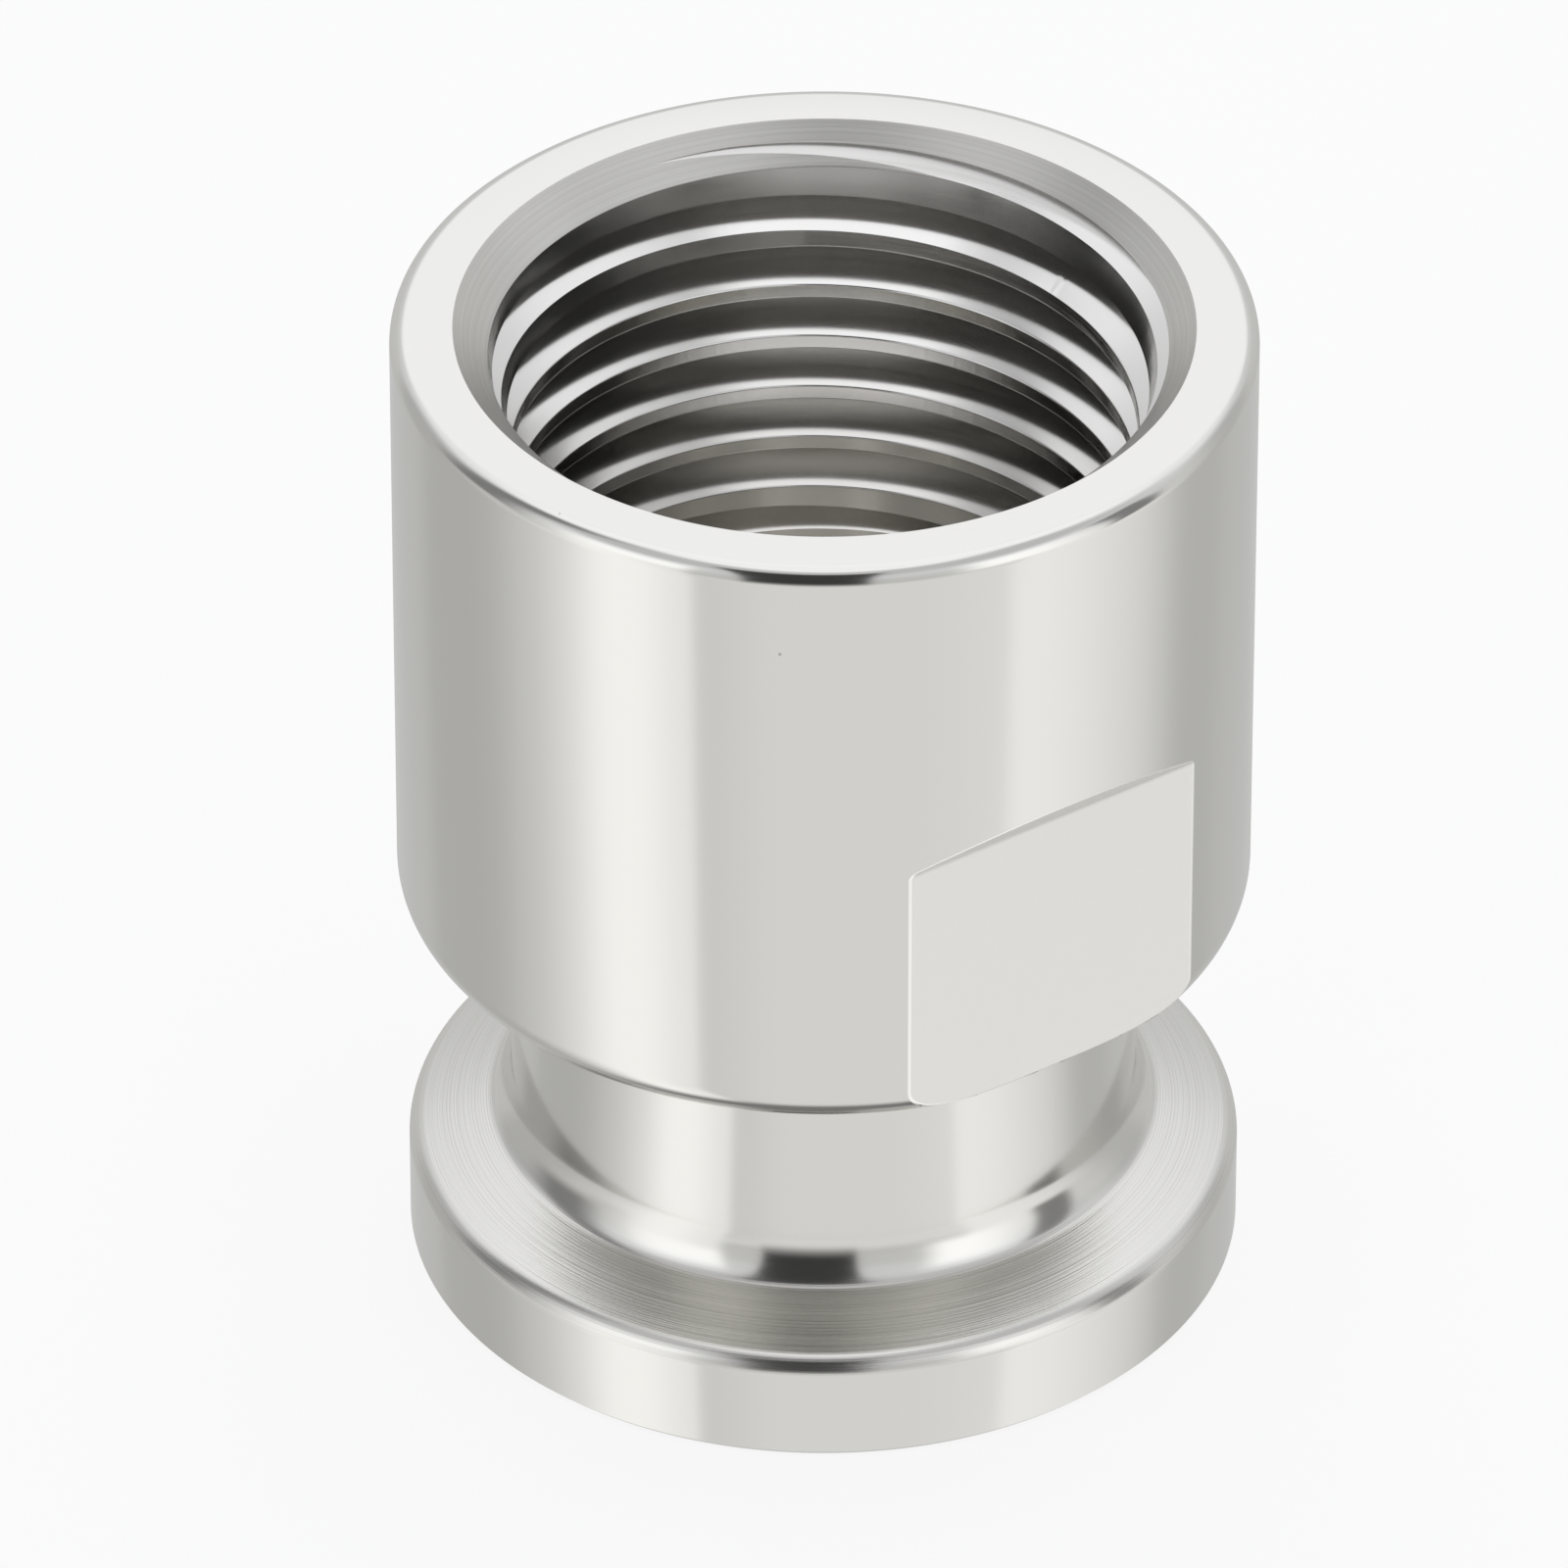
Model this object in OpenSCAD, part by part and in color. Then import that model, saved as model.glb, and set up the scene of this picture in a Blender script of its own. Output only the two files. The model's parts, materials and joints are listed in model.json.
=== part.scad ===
// Sanitary clamp adapter: a clamp ferrule on a short neck, below a body with
// an internal taper pipe thread. It is turned from one bar of stainless steel.
// The axis is Z. The ferrule's sealing face lies at z = 0 and the threaded
// mouth opens upwards. All sizes are in millimetres.

/* [Clamp ferrule] */
// Outside diameter of the clamp ferrule
ferrule_d = 25.4; // [25:0.1:26.4]
// Height at which the ferrule's side and its tapered back would meet
ferrule_h = 3.5; // [3:0.1:4.5]
// Slope of the tapered back that the clamp closes on, from level
back_angle = 20; // [15:1:25]
// Radius of the edge between the ferrule's side and its back
ferrule_edge_r = 0.7; // [0.3:0.1:1]
// Break on the ferrule's lower edge
ferrule_break = 0.2; // [0.1:0.05:0.4]

/* [Gasket groove] */
// Diameter of the gasket groove at its middle
groove_d = 20.2; // [19.4:0.1:20.8]
// Radius of the groove's round section
groove_r = 1.2; // [1:0.1:1.4]
// Depth of the groove in the sealing face
groove_depth = 0.8; // [0.5:0.1:1]

/* [Neck] */
// Outside diameter of the neck
neck_d = 19.1; // [18:0.1:20]
// Radius of the sweep from the neck to the ferrule's back
neck_fillet_r = 1.15; // [0.6:0.05:1.6]
// Radius left by the tool's nose where the neck meets the body
shoulder_fillet_r = 0.4; // [0.2:0.1:0.8]
// Length of the gap between the sealing face and the body's underside
body_clearance = 12.5; // [11:0.1:15]

/* [Body] */
// Outside diameter of the body
body_d = 25.9; // [25:0.1:28]
// Length of the body
body_len = 20.25; // [19.5:0.05:24]
// Radius of the outer edge at the mouth
mouth_edge_r = 0.55; // [0.3:0.05:0.8]
// Radius of the outer edge at the body's underside
base_edge_r = 1.2; // [0.6:0.1:1.5]

/* [Wrench flats] */
// How deep each flat is cut below the body's surface
flat_cut = 1.07; // [0.8:0.01:1.2]
// Height of the flats above the body's underside
flat_len = 9.15; // [7:0.05:12]
// Slope of the run-out at the top of each flat, from level
flat_runout_angle = 48; // [35:1:60]
// Direction that the first flat faces, counted from +X towards +Y
flat_direction = -55.2; // [-180:0.1:180]

/* [Pipe thread] */
// Distance from one thread to the next, 14 to the inch
thread_pitch = 1.8143; // [1.4:0.0001:2]
// Pitch diameter of the thread at the mouth face
thread_pitch_d = 19.77; // [19.6:0.01:20]
// Diameter across the thread's crests at the mouth face
thread_crest_d = 18.97; // [18.9:0.01:19.6]
// Angle of each thread flank from square to the axis
thread_flank_angle = 30; // [25:0.5:32]
// Height from the pitch line to the root, as a share of the pitch
thread_root_share = 0.4; // [0.35:0.01:0.4]
// Growth of the thread's diameter for each millimetre towards the mouth
thread_taper = 0.0625; // [0:0.0005:0.08]
// Depth of the thread below the mouth face
thread_len = 14.5; // [12:0.1:15.5]
// Direction in which the groove's middle crosses the mouth face
thread_direction = 205.7; // [0:0.1:360]
// Turn over which the thread runs out at its lower end, in degrees
thread_runout = 240; // [120:10:360]

/* [Mouth and bores] */
// Diameter of the lead-in chamfer at the mouth face
chamfer_d = 22.13; // [21.6:0.01:22.6]
// Diameter at the chamfer's lower end
chamfer_low_d = 20.06; // [19.9:0.01:20.6]
// Angle of the chamfer's wall from the axis
chamfer_angle = 45; // [35:1:55]
// Angle of the lead-in's wall from the axis, from the chamfer to the crests
lead_in_angle = 20; // [12:1:30]
// Length of the plain wall below the thread
land_len = 2; // [1:0.1:3]
// Full angle of the drill point below the plain wall
drill_point_angle = 118; // [90:1:140]
// Diameter of the flow bore
flow_d = 12.7; // [9.4:0.1:15.8]
// Break on the flow bore's edge at the sealing face
flow_break = 0.25; // [0.1:0.05:0.4]

/* [Hidden] */
$fn = 180;

ferrule_r = ferrule_d / 2;
neck_r = neck_d / 2;
body_r = body_d / 2;
flow_r = flow_d / 2;
chamfer_r = chamfer_d / 2;
chamfer_low_r = chamfer_low_d / 2;
groove_mid_r = groove_d / 2;

mouth_z = body_clearance + body_len;
thread_end_z = mouth_z - thread_len;
land_end_z = thread_end_z - land_len;

// How far a cutting shape reaches past the face that it opens
overcut = 1;
// How far the thread's cutting shape reaches inside the crests
thread_overcut = 0.15;
// Number of the thread's sections in one turn
thread_sections = 36;

// Radius of a tapered surface at height z, from its radius at the mouth
function tapered_r(mouth_r, z) = mouth_r - (mouth_z - z) * thread_taper / 2;

land_r = tapered_r(thread_crest_d / 2, thread_end_z);
drill_point_h = (land_r - flow_r) / tan(drill_point_angle / 2);

// Depths below the mouth face at which the chamfer ends and the lead-in meets the crest cone
chamfer_h = (chamfer_r - chamfer_low_r) / tan(chamfer_angle);
lead_in_h = (chamfer_low_r - thread_crest_d / 2 + chamfer_h * tan(lead_in_angle))
          / (tan(lead_in_angle) - thread_taper / 2);

// Upper edge of the ferrule: the tangent points lie this far from its corner
ferrule_edge_t = ferrule_edge_r * tan((90 - back_angle) / 2);

// Centre height of the sweep that touches the neck and the ferrule's back
neck_fillet_z = ferrule_h
              + (neck_fillet_r - (neck_r + neck_fillet_r - ferrule_r) * sin(back_angle))
              / cos(back_angle);

// Half of the turned section, before its bores
module turned_outline() {
    difference() {
        union() {
            polygon([
                [0, 0],
                [ferrule_r - ferrule_break, 0],
                [ferrule_r, ferrule_break],
                [ferrule_r, ferrule_h - ferrule_edge_t],
                [ferrule_r - ferrule_edge_t * cos(back_angle),
                 ferrule_h + ferrule_edge_t * sin(back_angle)],
                [neck_r + neck_fillet_r * (1 - sin(back_angle)),
                 neck_fillet_z - neck_fillet_r * cos(back_angle)],
                [neck_r, neck_fillet_z],
                [neck_r, body_clearance - shoulder_fillet_r],
                [neck_r + shoulder_fillet_r, body_clearance],
                [body_r - base_edge_r, body_clearance],
                [body_r, body_clearance + base_edge_r],
                [body_r, mouth_z - mouth_edge_r],
                [body_r - mouth_edge_r, mouth_z],
                [0, mouth_z]
            ]);
            translate([ferrule_r - ferrule_edge_r, ferrule_h - ferrule_edge_t])
                circle(r = ferrule_edge_r);
            translate([body_r - base_edge_r, body_clearance + base_edge_r])
                circle(r = base_edge_r);
            translate([body_r - mouth_edge_r, mouth_z - mouth_edge_r])
                circle(r = mouth_edge_r);
        }
        translate([neck_r + neck_fillet_r, neck_fillet_z])
            circle(r = neck_fillet_r);
        translate([neck_r + shoulder_fillet_r, body_clearance - shoulder_fillet_r])
            circle(r = shoulder_fillet_r);
    }
}

// Half of the space inside: flow bore, drill point, plain wall, crest cone, lead-in and chamfer
module bore_outline() {
    polygon([
        [0, -overcut],
        [flow_r + flow_break + overcut, -overcut],
        [flow_r, flow_break],
        [flow_r, land_end_z - drill_point_h],
        [land_r, land_end_z],
        [land_r, thread_end_z],
        [tapered_r(thread_crest_d / 2, mouth_z - lead_in_h), mouth_z - lead_in_h],
        [chamfer_low_r, mouth_z - chamfer_h],
        [chamfer_r + overcut * tan(chamfer_angle), mouth_z + overcut],
        [0, mouth_z + overcut]
    ]);
}

// Groove for the gasket's bead, round in section
module gasket_groove() {
    rotate_extrude()
        translate([groove_mid_r, groove_depth - groove_r])
            circle(r = groove_r);
}

// What the cutter takes away for one wrench flat, up to its sloped run-out
module wrench_flat_cut() {
    flat_r = body_r - flat_cut;
    flat_top = body_clearance + flat_len;
    reach = flat_cut + overcut;
    translate([0, body_r, 0])
        rotate([90, 0, 0])
            linear_extrude(height = body_d)
                polygon([
                    [flat_r, body_clearance - overcut],
                    [flat_r + reach, body_clearance - overcut],
                    [flat_r + reach, flat_top + reach * tan(flat_runout_angle)],
                    [flat_r, flat_top]
                ]);
}

// The thread's groove is swept down from above the mouth face
groove_start_z = mouth_z + thread_pitch;
groove_turn = 360 * (groove_start_z - thread_end_z - thread_pitch / 4) / thread_pitch;
groove_sections = ceil(groove_turn / 360 * thread_sections);
groove_step = groove_turn / groove_sections;

// Half the groove's width at radius r, at height z
function groove_half(r, z) =
    thread_pitch / 4 + (tapered_r(thread_pitch_d / 2, z) - r) * tan(thread_flank_angle);

// How far the tool has drawn back towards the axis, after a given turn
function tool_retreat(turn, depth) =
    depth * max(0, 1 - (groove_turn - turn) / thread_runout);

// One section of the groove's cutting shape: inner low, root low, root high, inner high
function groove_section(i) =
    let (
        turn = i * groove_step,
        angle = thread_direction + 360 - turn,
        z = groove_start_z - thread_pitch * turn / 360,
        root_r = tapered_r(thread_pitch_d / 2, z) + thread_root_share * thread_pitch,
        inner_r = tapered_r(thread_crest_d / 2, z) - thread_overcut,
        back = tool_retreat(turn, root_r - inner_r),
        root_half = groove_half(root_r, z),
        inner_half = groove_half(inner_r, z)
    )
    [for (p = [[inner_r, -inner_half], [root_r, -root_half],
               [root_r, root_half], [inner_r, inner_half]])
        [(p.x - back) * cos(angle), (p.x - back) * sin(angle), z + p.y]];

module thread_groove() {
    corners = 4;
    last = corners * groove_sections;
    points = [for (i = [0 : groove_sections]) each groove_section(i)];
    sides = [for (i = [0 : groove_sections - 1], j = [0 : corners - 1])
        let (
            k = (j + 1) % corners,
            here = corners * i,
            next = here + corners
        )
        each [[here + j, next + j, next + k], [here + j, next + k, here + k]]];
    ends = [[0, 1, 2], [0, 2, 3],
            [last, last + 2, last + 1], [last, last + 3, last + 2]];
    polyhedron(points = points, faces = concat(sides, ends), convexity = 20);
}

module adapter_body() {
    color("silver")
        difference() {
            rotate_extrude() turned_outline();
            rotate_extrude() bore_outline();
            gasket_groove();
            for (side = [0, 180])
                rotate([0, 0, flat_direction + side]) wrench_flat_cut();
            thread_groove();
        }
}

adapter_body();
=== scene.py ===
import json
import math

import bmesh
import bpy
from mathutils import Matrix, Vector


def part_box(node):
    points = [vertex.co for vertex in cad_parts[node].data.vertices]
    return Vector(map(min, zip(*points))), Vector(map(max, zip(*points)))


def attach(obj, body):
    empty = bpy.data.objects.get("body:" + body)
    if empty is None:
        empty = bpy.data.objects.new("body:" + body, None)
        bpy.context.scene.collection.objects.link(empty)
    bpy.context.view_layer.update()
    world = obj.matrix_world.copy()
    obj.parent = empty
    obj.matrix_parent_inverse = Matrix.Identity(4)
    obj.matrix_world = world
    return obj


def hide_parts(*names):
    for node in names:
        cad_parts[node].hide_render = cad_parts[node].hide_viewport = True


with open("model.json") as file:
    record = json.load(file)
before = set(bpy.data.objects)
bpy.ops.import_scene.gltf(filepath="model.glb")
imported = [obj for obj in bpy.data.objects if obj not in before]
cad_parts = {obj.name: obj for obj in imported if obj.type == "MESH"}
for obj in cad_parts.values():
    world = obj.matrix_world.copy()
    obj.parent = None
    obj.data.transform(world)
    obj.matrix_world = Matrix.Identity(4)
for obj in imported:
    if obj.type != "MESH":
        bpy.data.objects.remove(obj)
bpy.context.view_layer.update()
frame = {"record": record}

bl_info = {
    "name": "Sanitary Clamp Adapter",
    "version": (1, 0, 0),
    "blender": (4, 5, 0),
    "location": "3D View > Sidebar > Adapter",
    "description": "Builds a turned stainless clamp adapter with a taper pipe thread, and its studio",
    "category": "Mesh",
}

NODE = "adapter_body"

# The shapes are built in millimetres and scaled to metres at the end
MM = 0.001

# In millimetres: how far the thread's tool reaches inside the crests, and the mill past the body
THREAD_OVERCUT = 0.15
FLAT_OVERCUT = 1

# In millimetres: corners closer than this are joined after a full spin, between the turns of
# the thread's tool and after the cuts, and shorter edges than the last are dissolved
SPIN_JOIN = 1e-4
TURN_JOIN = 2e-3
CUT_JOIN = 2e-4
SHORTEST_EDGE = 1e-4

# The arc of a crest's worn edge stops this many degrees short of touching the land
WORN_GAP = 10

# Edges that turn by more than this are shaded as sharp
SHARP_TURN = math.radians(14)

# The floor lies this far below the sealing face, in metres, so that the two don't coincide
FLOOR_GAP = 0.00002


def mount_radius(name):
    """The radius of the record's mount of that name, in metres."""
    found = next(mount for mount in frame["record"]["mounts"] if mount["name"] == name)
    return found["dims"]["r_mm"] * MM


NODE_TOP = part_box(NODE)[1][2]
THREAD_TAPER = 1 / 16
THREAD_LENGTH = 0.0145


class ADAPTER_PG_sizes(bpy.types.PropertyGroup):
    """Sizes of the turned body, from its sealing face at the bottom."""

    ferrule_radius: bpy.props.FloatProperty(
        name="Ferrule radius", description="Outside radius of the clamp ferrule",
        default=mount_radius("clamp_rim"), unit="LENGTH", precision=6)
    ferrule_height: bpy.props.FloatProperty(
        name="Ferrule height", description="Height where the ferrule's side and tapered back would meet",
        default=0.0035, unit="LENGTH", precision=6)
    back_slope: bpy.props.FloatProperty(
        name="Back slope", description="Slope of the ferrule's tapered back, from level",
        default=math.radians(20), subtype="ANGLE")
    ferrule_edge: bpy.props.FloatProperty(
        name="Ferrule edge", description="Radius of the edge between the ferrule's side and its back",
        default=0.0007, unit="LENGTH", precision=6)
    ferrule_break: bpy.props.FloatProperty(
        name="Ferrule break", description="Break on the ferrule's lower edge",
        default=0.0002, unit="LENGTH", precision=6)
    groove_middle: bpy.props.FloatProperty(
        name="Groove radius", description="Radius of the gasket groove at its middle",
        default=0.0101, unit="LENGTH", precision=6)
    groove_round: bpy.props.FloatProperty(
        name="Groove section", description="Radius of the gasket groove's round section",
        default=0.0012, unit="LENGTH", precision=6)
    groove_depth: bpy.props.FloatProperty(
        name="Groove depth", description="Depth of the gasket groove",
        default=0.0008, unit="LENGTH", precision=6)
    neck_radius: bpy.props.FloatProperty(
        name="Neck radius", description="Outside radius of the neck",
        default=0.00955, unit="LENGTH", precision=6)
    neck_sweep: bpy.props.FloatProperty(
        name="Neck sweep", description="Radius of the sweep from the neck to the ferrule's back",
        default=0.0021, unit="LENGTH", precision=6)
    sweep_turn: bpy.props.FloatProperty(
        name="Sweep turn", description="How far the sweep turns before its smaller end radius",
        default=math.radians(38), subtype="ANGLE")
    sweep_end: bpy.props.FloatProperty(
        name="Sweep's end", description="Radius between the sweep and the ferrule's back",
        default=0.0007, unit="LENGTH", precision=6)
    shoulder_round: bpy.props.FloatProperty(
        name="Shoulder radius", description="Radius where the neck meets the body's underside",
        default=0.0004, unit="LENGTH", precision=6)
    body_foot: bpy.props.FloatProperty(
        name="Body underside", description="Height of the body's underside",
        default=0.0125, unit="LENGTH", precision=6)
    body_radius: bpy.props.FloatProperty(
        name="Body radius", description="Outside radius of the body",
        default=0.01295, unit="LENGTH", precision=6)
    base_edge: bpy.props.FloatProperty(
        name="Base edge", description="Radius of the outer edge at the body's underside",
        default=0.0012, unit="LENGTH", precision=6)
    mouth_height: bpy.props.FloatProperty(
        name="Mouth height", description="Height of the threaded mouth's face",
        default=NODE_TOP, unit="LENGTH", precision=6)
    mouth_edge: bpy.props.FloatProperty(
        name="Mouth edge", description="Radius of the outer edge at the mouth",
        default=0.00055, unit="LENGTH", precision=6)
    chamfer_radius: bpy.props.FloatProperty(
        name="Chamfer radius", description="Radius of the lead-in chamfer at the mouth's face",
        default=0.011065, unit="LENGTH", precision=6)
    chamfer_slope: bpy.props.FloatProperty(
        name="Chamfer slope", description="Angle of the chamfer's wall from the axis",
        default=math.radians(45), subtype="ANGLE")
    chamfer_low: bpy.props.FloatProperty(
        name="Chamfer's end", description="Radius at the chamfer's lower end",
        default=0.01003, unit="LENGTH", precision=6)
    lead_in: bpy.props.FloatProperty(
        name="Lead-in", description="Angle of the wall between the chamfer and the crests, from the axis",
        default=math.radians(15), subtype="ANGLE")
    land_length: bpy.props.FloatProperty(
        name="Plain wall", description="Length of the plain wall below the thread",
        default=0.002, unit="LENGTH", precision=6)
    drill_angle: bpy.props.FloatProperty(
        name="Drill point", description="Full angle of the drill point below the plain wall",
        default=math.radians(118), subtype="ANGLE")
    flow_radius: bpy.props.FloatProperty(
        name="Flow bore", description="Radius of the flow bore",
        default=mount_radius("flow_bore"), unit="LENGTH", precision=6)
    flow_break: bpy.props.FloatProperty(
        name="Flow bore break", description="Break on the flow bore's edge at the sealing face",
        default=0.00025, unit="LENGTH", precision=6)
    segments: bpy.props.IntProperty(
        name="Segments", description="Sections around the turned body", default=244)


class ADAPTER_PG_thread(bpy.types.PropertyGroup):
    """The taper pipe thread, measured at the mouth's face."""

    pitch: bpy.props.FloatProperty(
        name="Pitch", description="Distance from one thread to the next",
        default=0.0018143, unit="LENGTH", precision=7)
    pitch_radius: bpy.props.FloatProperty(
        name="Pitch radius", description="Radius of the pitch line at the mouth's face",
        default=0.009885, unit="LENGTH", precision=6)
    crest_radius: bpy.props.FloatProperty(
        name="Crest radius", description="Radius across the thread's crests at the mouth's face",
        default=mount_radius("pipe_thread") + THREAD_LENGTH * THREAD_TAPER / 2, unit="LENGTH", precision=6)
    crest_round: bpy.props.FloatProperty(
        name="Crest edge", description="How far the crest's worn edge reaches onto its land",
        default=0.00005, unit="LENGTH", precision=6)
    root_share: bpy.props.FloatProperty(
        name="Root share", description="Height from the pitch line to the root, as a share of the pitch",
        default=0.4)
    flank_angle: bpy.props.FloatProperty(
        name="Flank angle", description="Angle of each flank from square to the axis",
        default=math.radians(30), subtype="ANGLE")
    taper: bpy.props.FloatProperty(
        name="Taper", description="Growth of the diameter for each unit of length towards the mouth",
        default=THREAD_TAPER, precision=5)
    length: bpy.props.FloatProperty(
        name="Length", description="Depth of the thread below the mouth's face",
        default=THREAD_LENGTH, unit="LENGTH", precision=6)
    direction: bpy.props.FloatProperty(
        name="Direction", description="Direction where the groove's middle crosses the mouth's face",
        default=math.radians(205.7), subtype="ANGLE")
    runout: bpy.props.FloatProperty(
        name="Run-out", description="Turn over which the thread runs out at its lower end",
        default=math.radians(240), subtype="ANGLE")
    steps: bpy.props.IntProperty(
        name="Steps", description="Sections in one turn of the thread", default=180)


class ADAPTER_PG_flats(bpy.types.PropertyGroup):
    """The two milled wrench flats."""

    cut: bpy.props.FloatProperty(
        name="Cut", description="Depth of each flat below the body's surface",
        default=0.00107, unit="LENGTH", precision=6)
    length: bpy.props.FloatProperty(
        name="Length", description="Height of the flats above the body's underside",
        default=0.00915, unit="LENGTH", precision=6)
    runout_slope: bpy.props.FloatProperty(
        name="Run-out slope", description="Slope of the run-out at the top of each flat, from level",
        default=math.radians(48), subtype="ANGLE")
    nose: bpy.props.FloatProperty(
        name="Mill nose", description="Radius between a flat and its run-out",
        default=0.0004, unit="LENGTH", precision=6)
    direction: bpy.props.FloatProperty(
        name="Direction", description="Direction that the first flat faces",
        default=math.radians(-55.2), subtype="ANGLE")
    worn: bpy.props.FloatProperty(
        name="Worn edge", description="Width of the worn edge round each flat",
        default=0.00005, unit="LENGTH", precision=6)


class ADAPTER_PG_finish(bpy.types.PropertyGroup):
    """Colours and polish of the bare stainless steel."""

    steel: bpy.props.FloatVectorProperty(
        name="Steel", description="Colour of the turned steel", subtype="COLOR",
        size=3, default=(0.74, 0.7335, 0.702), min=0, max=1)
    milled: bpy.props.FloatVectorProperty(
        name="Milled steel", description="Colour of the matte milled steel", subtype="COLOR",
        size=3, default=(0.83, 0.823, 0.79), min=0, max=1)
    # Tapped steel: a real freshly cut finish, with its colour raised above the turned steel's as painted
    # light, to brighten the reflections inside the bore
    tapped: bpy.props.FloatVectorProperty(
        name="Tapped steel", description="Colour of the bright steel inside the thread", subtype="COLOR",
        size=3, default=(0.79, 0.784, 0.765), min=0, max=1)
    # The worn edges are real wear; their colour is raised above the steel's to paint a bright highlight
    # along them
    worn: bpy.props.FloatVectorProperty(
        name="Worn steel", description="Colour of the worn bright edges of the flats", subtype="COLOR",
        size=3, default=(0.93, 0.925, 0.9), min=0, max=1)
    turned_roughness: bpy.props.FloatProperty(
        name="Turned roughness", description="Roughness of the polished turned faces",
        default=0.12, subtype="FACTOR", min=0, max=1)
    milled_roughness: bpy.props.FloatProperty(
        name="Milled roughness", description="Roughness of the milled flats",
        default=0.5, subtype="FACTOR", min=0, max=1)
    thread_roughness: bpy.props.FloatProperty(
        name="Thread roughness", description="Roughness inside the thread",
        default=0.15, subtype="FACTOR", min=0, max=1)


class ADAPTER_PG_studio(bpy.types.PropertyGroup):
    """The camera and the floor."""

    camera_place: bpy.props.FloatVectorProperty(
        name="Camera", description="Where the camera stands", subtype="TRANSLATION",
        size=3, default=(-0.00029, -0.43589, 0.32842))
    camera_tilt: bpy.props.FloatProperty(
        name="Camera tilt", description="How far the camera looks up from straight down",
        default=math.radians(54.363), subtype="ANGLE")
    camera_turn: bpy.props.FloatProperty(
        name="Camera turn", description="Turn of the camera about the vertical",
        default=math.radians(0.1203), subtype="ANGLE")
    lens: bpy.props.FloatProperty(
        name="Lens", description="Focal length on a 36 mm sensor", default=406.6, unit="CAMERA")
    floor_size: bpy.props.FloatProperty(
        name="Floor size", description="Width of the floor", default=4.0, unit="LENGTH")


# Profiles are lists of (radius, height) in millimetres

def in_mm(*lengths):
    """The lengths in millimetres."""
    return [length / MM for length in lengths]


def arc(centre, radius, start, end, steps):
    """Points of an arc in a profile, both ends included; the angles are in degrees."""
    points = []
    for i in range(steps + 1):
        angle = math.radians(start + (end - start) * i / steps)
        points.append((centre[0] + radius * math.cos(angle), centre[1] + radius * math.sin(angle)))
    return points


def sealing_face_outline(sizes):
    """The sealing face with its gasket groove, from the flow bore out to the ferrule's side."""
    flow_r, flow_break = in_mm(sizes.flow_radius, sizes.flow_break)
    groove_r, groove_round, depth = in_mm(sizes.groove_middle, sizes.groove_round, sizes.groove_depth)
    ferrule_r, ferrule_break = in_mm(sizes.ferrule_radius, sizes.ferrule_break)
    rise = math.degrees(math.asin((groove_round - depth) / groove_round))

    points = [(flow_r + flow_break, 0)]
    points += arc((groove_r, depth - groove_round), groove_round, 180 - rise, rise, steps=16)
    points += [(ferrule_r - ferrule_break, 0), (ferrule_r, ferrule_break)]
    return points


def ferrule_back_outline(sizes):
    """The ferrule's upper edge, its tapered back and the sweep up to the neck."""
    ferrule_r, ferrule_h, edge = in_mm(sizes.ferrule_radius, sizes.ferrule_height, sizes.ferrule_edge)
    neck_r, sweep, sweep_end = in_mm(sizes.neck_radius, sizes.neck_sweep, sizes.sweep_end)
    slope = math.degrees(sizes.back_slope)
    tangent = edge * math.tan(math.radians((90 - slope) / 2))

    # The sweep from the neck ends in a smaller radius, which touches the tapered back
    across, down = math.cos(sizes.sweep_turn), math.sin(sizes.sweep_turn)
    foot_r = neck_r + sweep * (1 - across) + sweep_end * (across - math.sin(sizes.back_slope))
    foot_z = ferrule_h + (ferrule_r - foot_r) * math.tan(sizes.back_slope)
    sweep_z = foot_z + sweep * down + sweep_end * (math.cos(sizes.back_slope) - down)
    end_r = neck_r + sweep - (sweep - sweep_end) * across
    end_z = sweep_z - (sweep - sweep_end) * down
    turned = 180 + math.degrees(sizes.sweep_turn)

    points = arc((ferrule_r - edge, ferrule_h - tangent), edge, 0, 90 - slope, steps=10)
    points += arc((end_r, end_z), sweep_end, 270 - slope, turned, steps=8)[:-1]
    points += arc((neck_r + sweep, sweep_z), sweep, turned, 180, steps=14)
    return points


def body_outline(sizes):
    """The shoulder under the body, the body's side and the outer edge of the mouth."""
    neck_r, shoulder = in_mm(sizes.neck_radius, sizes.shoulder_round)
    body_r, foot, mouth = in_mm(sizes.body_radius, sizes.body_foot, sizes.mouth_height)
    base, lip = in_mm(sizes.base_edge, sizes.mouth_edge)

    points = arc((neck_r + shoulder, foot - shoulder), shoulder, 180, 90, steps=8)
    points += arc((body_r - base, foot + base), base, -90, 0, steps=14)
    points += arc((body_r - lip, mouth - lip), lip, 0, 90, steps=12)
    return points


def bore_outline(sizes, thread):
    """The inside from the mouth down: chamfer, lead-in, crests, plain wall, drill point, flow bore."""
    mouth, land_length = in_mm(sizes.mouth_height, sizes.land_length)
    chamfer_r, chamfer_low = in_mm(sizes.chamfer_radius, sizes.chamfer_low)
    flow_r, flow_break = in_mm(sizes.flow_radius, sizes.flow_break)
    crest_r, thread_length = in_mm(thread.crest_radius, thread.length)
    lean, lead_in = thread.taper / 2, math.tan(sizes.lead_in)

    chamfer_h = (chamfer_r - chamfer_low) / math.tan(sizes.chamfer_slope)
    lead_in_h = (chamfer_low - crest_r + chamfer_h * lead_in) / (lead_in - lean)
    thread_end = mouth - thread_length
    land_r = crest_r - thread_length * lean
    land_end = thread_end - land_length
    drill_end = land_end - (land_r - flow_r) / math.tan(sizes.drill_angle / 2)
    return [
        (chamfer_r, mouth),
        (chamfer_low, mouth - chamfer_h),
        (crest_r - lead_in_h * lean, mouth - lead_in_h),
        (land_r, thread_end),
        (land_r, land_end),
        (flow_r, drill_end),
        (flow_r, flow_break),
    ]


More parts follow.
